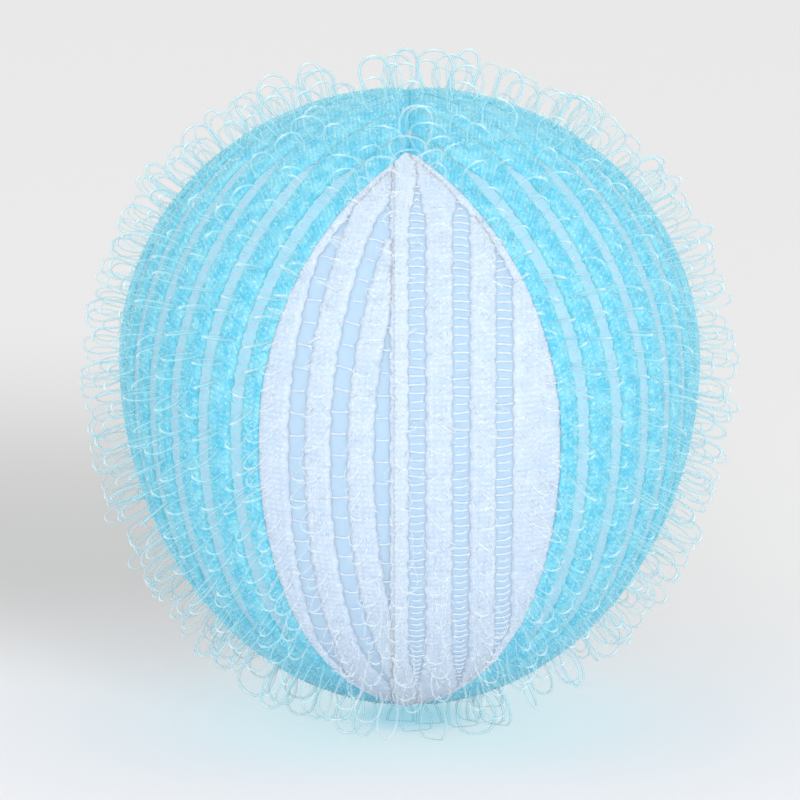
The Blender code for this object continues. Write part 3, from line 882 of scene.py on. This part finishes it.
pressed = node(raising, "ShaderNodeCombineXYZ", spot.outputs["X"], spot.outputs["Y"], level)
loops = node(raising, "GeometryNodeSetPosition", loops, None, pressed)
loops = node(raising, "GeometryNodeSetShadeSmooth", loops)
loops = node(raising, "GeometryNodeSetMaterial", loops, None, given["Nylon"])
node(raising, "NodeGroupOutput", loops)

# The fuzz is loose ends of the yarn's own fibres, which stand out of the dense bands.
FIBRE_RADIUS = 0.000034
FIBRE_LINE = [(0, -0.00010), (0.00006, 0.00015), (0.00020, 0.00030)]
fibre = wire_mesh("fibre", FIBRE_LINE, FIBRE_RADIUS, sides=3)

# What crosses the ladders. In the white tapes it is single clear threads; in the blue gores it is thin
# open knitting, made of flat cells with one open mesh each. Both are made for a ladder 1 m wide, then
# scaled to the real one, and reach a little under the bands beside it.
LADDER_LEVEL = -0.00004
PICK_REACH = 0.56
PICK_WIRE = 0.00006
PICK_BOW = 0.00010
CELL_PITCH = 0.00055
CELL_HOLE = (0.00026, 0.00015)
CELL_THICKNESS = 0.00005
CELL_BOW = 0.00002


def openwork_cell(name):
    """A flat cell of thin knitting round its open mesh."""
    ring = [(1, 0), (1, 1), (0, 1), (-1, 1), (-1, 0), (-1, -1), (0, -1), (1, -1)]
    outer = np.array([(PICK_REACH * x, CELL_PITCH / 2 * y, -CELL_BOW * abs(x)) for x, y in ring])
    turns = 2 * pi * np.arange(len(ring)) / len(ring)
    width, length = CELL_HOLE
    hole = np.stack((width / BLUE_LADDER * np.cos(turns), length * np.sin(turns), 0 * turns), axis=1)
    down = np.array((0, 0, CELL_THICKNESS))
    rings = np.stack((outer, hole, hole - down, outer - down))
    index = np.arange(4 * len(ring)).reshape(4, -1)
    after, inside = np.roll(index, -1, axis=1), np.roll(index, -1, axis=0)
    quads = np.stack((index, after, np.roll(inside, -1, axis=1), inside), axis=-1).reshape(-1, 4)
    mesh = bpy.data.meshes.new(name)
    mesh.from_pydata(rings.reshape(-1, 3), [], quads.tolist())
    face_outwards(mesh)
    return bpy.data.objects.new(name, mesh)


bow = [(-1, -PICK_BOW), (-0.5, 0), (0, PICK_BOW / 2), (0.5, 0), (1, -PICK_BOW)]
white_pick = wire_mesh("white_pick", [(PICK_REACH * x, z) for x, z in bow], PICK_WIRE)
THREADS = {"Pick": white_pick, "Shortest Pick": 0.5, "Round Picks": True}
LEFT_PICKS = {**THREADS, "Pick Pitch": 0.00130, "Pick Width": 1.0}
RIGHT_PICKS = {**THREADS, "Pick Pitch": 0.00050, "Pick Width": 1.2}
BLUE_PICKS = {
    "Pick": openwork_cell("blue_cell"),
    "Pick Pitch": CELL_PITCH,
    "Pick Width": 1.0,
    "Shortest Pick": 1.0,
    "Round Picks": False,
}


def tape_area(tape):
    """The area that a tape covers, as it was cut."""
    run = trace(tape, tape.edges, 0.0, ROW_STEP)
    width = (run.right - run.left) / tape.spread(run.along)
    return float(np.sum((width[1:] + width[:-1]) / 2 * np.diff(run.travelled)))


# A tape's own choices: its finishes, what crosses its ladders, its material slot and the size it is cut to.
Cloth = namedtuple("Cloth", "yarn loops cross fuzz picks slot cut")
BLUE_CUT = (0.0205, 0.0560)
WHITE_CUT = (0.0110, 0.0420)
white_finish = (white_yarn, clear_drawn, white_cross, white_fuzz)
blue_cloth = Cloth(blue_yarn, blue_drawn, blue_cross, blue_fuzz, BLUE_PICKS, "blue_nylon", BLUE_CUT)
left_cloth = Cloth(*white_finish, LEFT_PICKS, "white_nylon", WHITE_CUT)
right_cloth = Cloth(*white_finish, RIGHT_PICKS, "white_nylon", WHITE_CUT)


def make_tape(name, node_name, tape, cloth, mirror, seed):
    """One tape of the cover with its loops."""
    mirror = np.array((*mirror, 1))
    ladder_runs = [trace(tape, sides, LEAST_LADDER, ROW_STEP) for sides in ladders_of(tape)]
    lines = [traced_line(tape, run, LADDER_LEVEL) for run in ladder_runs if run]
    ladders = bpy.data.objects.new(name + "_ladders", line_mesh(name + "_ladders", lines, mirror))
    mesh = run_tree(knit, band_mesh(name, tape, mirror), {
        "Ladders": ladders,
        **cloth.picks,
        "Wale": WALE,
        "Stitch": STITCH,
        "Relief": STITCH_RELIEF,
        "Skew": (radians(5), 0.0, radians(7)),
        "Seed": seed,
        "Fibre": fibre,
        "Fuzz Density": FUZZ_DENSITY,
        "Yarn": cloth.yarn,
        "Cross Nylon": cloth.cross,
        "Fuzz": cloth.fuzz,
    })
    piece = new_piece(name, mesh, cloth.slot)
    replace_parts(piece, node_name)
    bands = [trace(tape, sides, LEAST_LOOP_BAND, LOOP_ROW_STEP) for sides in bands_of(tape)]
    lines = []
    for number, run in enumerate(band for band in bands if band):
        line = traced_line(tape, run)
        first_loop = FIRST_LOOP + FIRST_LOOP_SPREAD * (number * LOOP_STAGGER % 1)
        before = int(LOOP_PITCH / LOOP_ROW_STEP * first_loop)
        after = len(run.along) - int(LOOP_PITCH / LOOP_ROW_STEP * LAST_LOOP)
        if after > before + 2:
            lines.append(tuple(values[before:after] for values in line))
    mesh = run_tree(raising, line_mesh(name + "_loops", lines, mirror), {
        "Loop Shapes": loop_shapes,
        "Pitch": LOOP_PITCH,
        "Lean": LOOP_LEAN,
        "Wander": LOOP_WANDER,
        "Smallest": 0.85,
        "Largest": 1.08,
        "Floor Level": LOOP_FLOOR,
        "Droop": LOOP_DROOP,
        "Pole Share": POLE_SHARE,
        "Seed": seed,
        "Nylon": cloth.loops,
    })
    loops = new_piece(name.replace("tape", "loops"), mesh, "clear_loops")
    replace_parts(loops, node_name)
    tape_area(tape)


WHITE_SEED_STEP = 10
seed = 0
for end, front in (("front", 1), ("back", -1)):
    for hand, right in (("left", -1), ("right", 1)):
        seed += 1
        place = f"{end}_{hand}"
        make_tape(f"blue_tape_{place}", f"blue_gore_{place}", blue_tape(), blue_cloth, (right, front), seed)
        make_tape(
            f"white_tape_{place}_cloth", f"white_tape_{place}", white_tape(right),
            right_cloth if right > 0 else left_cloth, (front, front), seed + WHITE_SEED_STEP,
        )

# One longer loop, clear like those of the white tapes, stands at the top end of the front lens.
TIP_LOOP = (0.0032, 0.0017, 0.0011, 0.0001)
TIP_WIRE = LOOP_WIRE * 1.1
TIP_GLINT = 0.0013
TIP_RISE = LENS_HALF_HEIGHT + radians(1.5)
TIP_AZIMUTH = radians(2.5)
tip_loop = wire_mesh("tip_loop", loop_outline(*TIP_LOOP), TIP_WIRE / 2, glint=TIP_GLINT).data
spot = on_cover(latitude(TIP_RISE, TIP_AZIMUTH))
up = outward(latitude(TIP_RISE, TIP_AZIMUTH))
side = np.cross((0, 1, 0), up)
side /= np.linalg.norm(side)
points = np.empty(len(tip_loop.vertices) * 3)
tip_loop.vertices.foreach_get("co", points)
points = points.reshape(-1, 3) @ np.array((side, np.cross(up, side), up)) + spot
tip_loop.vertices.foreach_set("co", points.ravel())
tip_loop.shade_smooth()
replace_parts(new_piece("long_tip_loop", tip_loop, "clear_loops", clear_drawn), "white_tape_front_right")

# The stitches that close the cover: polyester sewing thread that runs in a zigzag from selvedge to
# selvedge along every seam, one thread for each.
SEWING_RADIUS = 0.00007
SEWING_SIDES = 5
SEWING_STEP = 0.00045
SEAM_WIDTH = 0.00060
LAP_SEAM_WIDTH = 0.00040
SEWING_LEVEL = -0.00012
SEAM_ENDS = 0.00060 / BODY_RADIUS

sewing, given = new_tree("sew_seam", {
    "Step": "Float",
    "Width": "Float",
    "Thread Radius": "Float",
    "Thread": "Material",
})
seam = spaced_out(sewing, given["Geometry"], given["Step"])
parity = calc(sewing, "MODULO", node(sewing, "GeometryNodeInputIndex"), 2.0)
reach = calc(sewing, "MULTIPLY", calc(sewing, "SUBTRACT", parity, 0.5), given["Width"])
aside = scaled(sewing, aside_of_line(sewing), reach)
seam = node(sewing, "GeometryNodeSetPosition", seam, None, None, aside)
section = node(sewing, "GeometryNodeCurvePrimitiveCircle", SEWING_SIDES)
sewing.links.new(given["Thread Radius"], section.inputs["Radius"])
thread = node(sewing, "GeometryNodeCurveToMesh", seam, section)
thread.inputs["Fill Caps"].default_value = True
thread = node(sewing, "GeometryNodeRealizeInstances", thread)
thread = node(sewing, "GeometryNodeSetShadeSmooth", thread)
thread = node(sewing, "GeometryNodeSetMaterial", thread, None, given["Thread"])
node(sewing, "NodeGroupOutput", thread)


def sew(name, point_at, reach, mirror=(1, 1), width=SEAM_WIDTH, thread=blue_sewing, slot="blue_thread"):
    """The stitches of one seam, along the directions that point_at gives from one angle to another."""
    direction = point_at(np.linspace(*reach, TRACE_STEPS))
    line = (on_cover(direction, SEWING_LEVEL), outward(direction), np.zeros_like(direction))
    mesh = run_tree(sewing, line_mesh(name, [line], np.array((*mirror, 1))), {
        "Step": SEWING_STEP,
        "Width": width,
        "Thread Radius": SEWING_RADIUS,
        "Thread": thread,
    })
    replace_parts(new_piece(name + "_stitches", mesh, slot), name)


def lens_edge(turn):
    return polar(turn, lens_edge_from_axis(turn))


def lap_line(rise):
    return latitude(rise, join_azimuth(rise))


half_seam = UPRIGHT - SEAM_ENDS
half_lap = LENS_HALF_HEIGHT - 3 * SEAM_ENDS
for end, front in (("front", 1), ("back", -1)):
    for hand, right in (("left", -1), ("right", 1)):
        sew(f"lens_thread_{end}_{hand}", lens_edge, (-half_seam, half_seam), (right, front))
    sew(f"lap_thread_{end}", lap_line, (-half_lap, half_lap), (front, front), LAP_SEAM_WIDTH, white_sewing,
        "white_thread")
for hand, azimuth in (("right", 0.0), ("left", pi)):
    sew(f"side_thread_{hand}", lambda rise, azimuth=azimuth: upright(rise, azimuth), (-half_seam, half_seam))
for place, up in (("top", 1), ("bottom", -1)):
    tip = LENS_HALF_HEIGHT - up * LENS_TILT + SEAM_ENDS
    sew(f"{place}_thread", lambda rise, up=up: upright(up * rise, -UPRIGHT), (tip, pi - tip))

# The floor is a pale sheet, wide enough for every view. Painted into it are a soft shadow of the ball to the
# back left, a contact shadow and a blue bounce glow right under the ball, and more light towards the front;
# camera rays also see part of it as an even painted glow. A soft lamp stands high at the front right and one
# low at the front left, with even light from all round. The camera looks down a little through a long lens.
# Camera rays see part of the floor as an even painted glow of its painted colours, which lightens its
# shadows.
FLOOR_GLOW = 0.20
# A painted blue bounce glow on the floor round the ball, seen by camera rays.
BOUNCE_GLOW = 0.50
BOUNCE_REACH = (0.006, 0.026)
# A painted contact shadow right under the ball.
CONTACT_SHADOW_REACH = (0.0012, 0.0052)
# A painted soft shadow of the ball on the floor, to the back left.
SHADE_DEPTH = 0.23
SHADE_FRONT = (0.004, 0.040)
SHADE_BACK = (0.046, 0.125)
SHADE_SIDE = (0.030, -0.012)
PAPER = (0.80, 0.80, 0.80, 1)
# The floor is painted lighter towards the front: painted light.
PAPER_LIT_AHEAD = (0.865, 0.85, 0.865, 1)
LIT_AHEAD_REACH = (0.030, -0.004)
BOUNCE = (0.74, 0.93, 0.98, 1)
CONTACT_SHADOW = (0.40, 0.80, 0.95, 1)
FLOOR_HALF = 3
floor_mesh = bpy.data.meshes.new("floor")
corners = [(x * FLOOR_HALF, y * FLOOR_HALF, 0) for x, y in ((-1, -1), (1, -1), (1, 1), (-1, 1))]
floor_mesh.from_pydata(corners, [], [(0, 1, 2, 3)])
floor = bpy.data.objects.new("floor", floor_mesh)
bpy.context.scene.collection.objects.link(floor)
paper, tree, shader = new_material("floor_paper", Roughness=0.9, Specular_IOR_Level=0.1)
seen = node(tree, "ShaderNodeLightPath").outputs["Is Camera Ray"]
place = node(tree, "ShaderNodeTexCoord").outputs["Object"]
away = node(tree, "ShaderNodeVectorMath", place, operation="LENGTH").outputs["Value"]
# Mask of the painted bounce glow.
near = smoothly(tree, away, *BOUNCE_REACH, 1.0, 0.0)
# Mask of the painted contact shadow.
under = smoothly(tree, away, *CONTACT_SHADOW_REACH, 1.0, 0.0)
spot = node(tree, "ShaderNodeSeparateXYZ", place)
# The painted soft shadow.
shade = SHADE_DEPTH
for socket, limits in (("Y", SHADE_FRONT), ("Y", SHADE_BACK[::-1]), ("X", SHADE_SIDE)):
    shade = calc(tree, "MULTIPLY", shade, smoothly(tree, spot.outputs[socket], *limits, 0.0, 1.0))
shaded = calc(tree, "SUBTRACT", 1.0, shade)
# The painted lighter front.
ahead = smoothly(tree, spot.outputs["Y"], *LIT_AHEAD_REACH, 0.0, 1.0)
plain = scaled(tree, mixed(tree, ahead, PAPER, PAPER_LIT_AHEAD), shaded)
tree.links.new(plain, shader.inputs["Base Color"])
glow = mixed(tree, under, mixed(tree, near, plain, BOUNCE), CONTACT_SHADOW)
# Part of what camera rays see is an even painted glow.
evenly = node(tree, "ShaderNodeEmission", glow, 1.0)
share = calc(tree, "MULTIPLY", seen, calc(tree, "MULTIPLY_ADD", near, BOUNCE_GLOW, FLOOR_GLOW))
blend = node(tree, "ShaderNodeMixShader", share, shader, evenly)
tree.links.new(blend.outputs[0], tree.nodes["Material Output"].inputs["Surface"])
floor_mesh.materials.append(paper)

SKY_STRENGTH = 0.97
LAMP_SIZE = 0.30
LAMP_POWER = 2.0
LAMP_AIM = Vector((0, 0, 0.02))
LAMPS = {"key_lamp": (0.31, -0.77, 0.36), "low_fill": (-0.12, -0.77, 0.02)}
world = bpy.data.worlds.new("studio")
world.use_nodes = True
sky = world.node_tree.nodes["Background"]
sky.inputs["Color"].default_value = (1.0, 1.0, 1.0, 1)
sky.inputs["Strength"].default_value = SKY_STRENGTH
bpy.context.scene.world = world

for name, spot in LAMPS.items():
    lamp = bpy.data.lights.new(name, "AREA")
    lamp.shape = "DISK"
    lamp.size = LAMP_SIZE
    lamp.energy = LAMP_POWER
    stand = bpy.data.objects.new(name, lamp)
    stand.location = spot
    stand.rotation_euler = (LAMP_AIM - stand.location).to_track_quat("-Z", "Y").to_euler()
    bpy.context.scene.collection.objects.link(stand)

CAMERA_RISE = radians(12)
CAMERA_DISTANCE = 0.40
FRAME_WIDTH = 0.0488
SENSOR_WIDTH = 36.0
AIM = Vector((-0.00058, 0.0, 0.01986))
lens = bpy.data.cameras.new("camera")
lens.sensor_width = SENSOR_WIDTH
lens.lens = SENSOR_WIDTH * CAMERA_DISTANCE / FRAME_WIDTH
lens.clip_start = 0.01
camera = bpy.data.objects.new("camera", lens)
camera.location = AIM + CAMERA_DISTANCE * Vector((0, -cos(CAMERA_RISE), sin(CAMERA_RISE)))
camera.rotation_euler = (UPRIGHT - CAMERA_RISE, 0, 0)
bpy.context.scene.collection.objects.link(camera)
bpy.context.scene.camera = camera
bpy.context.scene.view_settings.view_transform = "Standard"
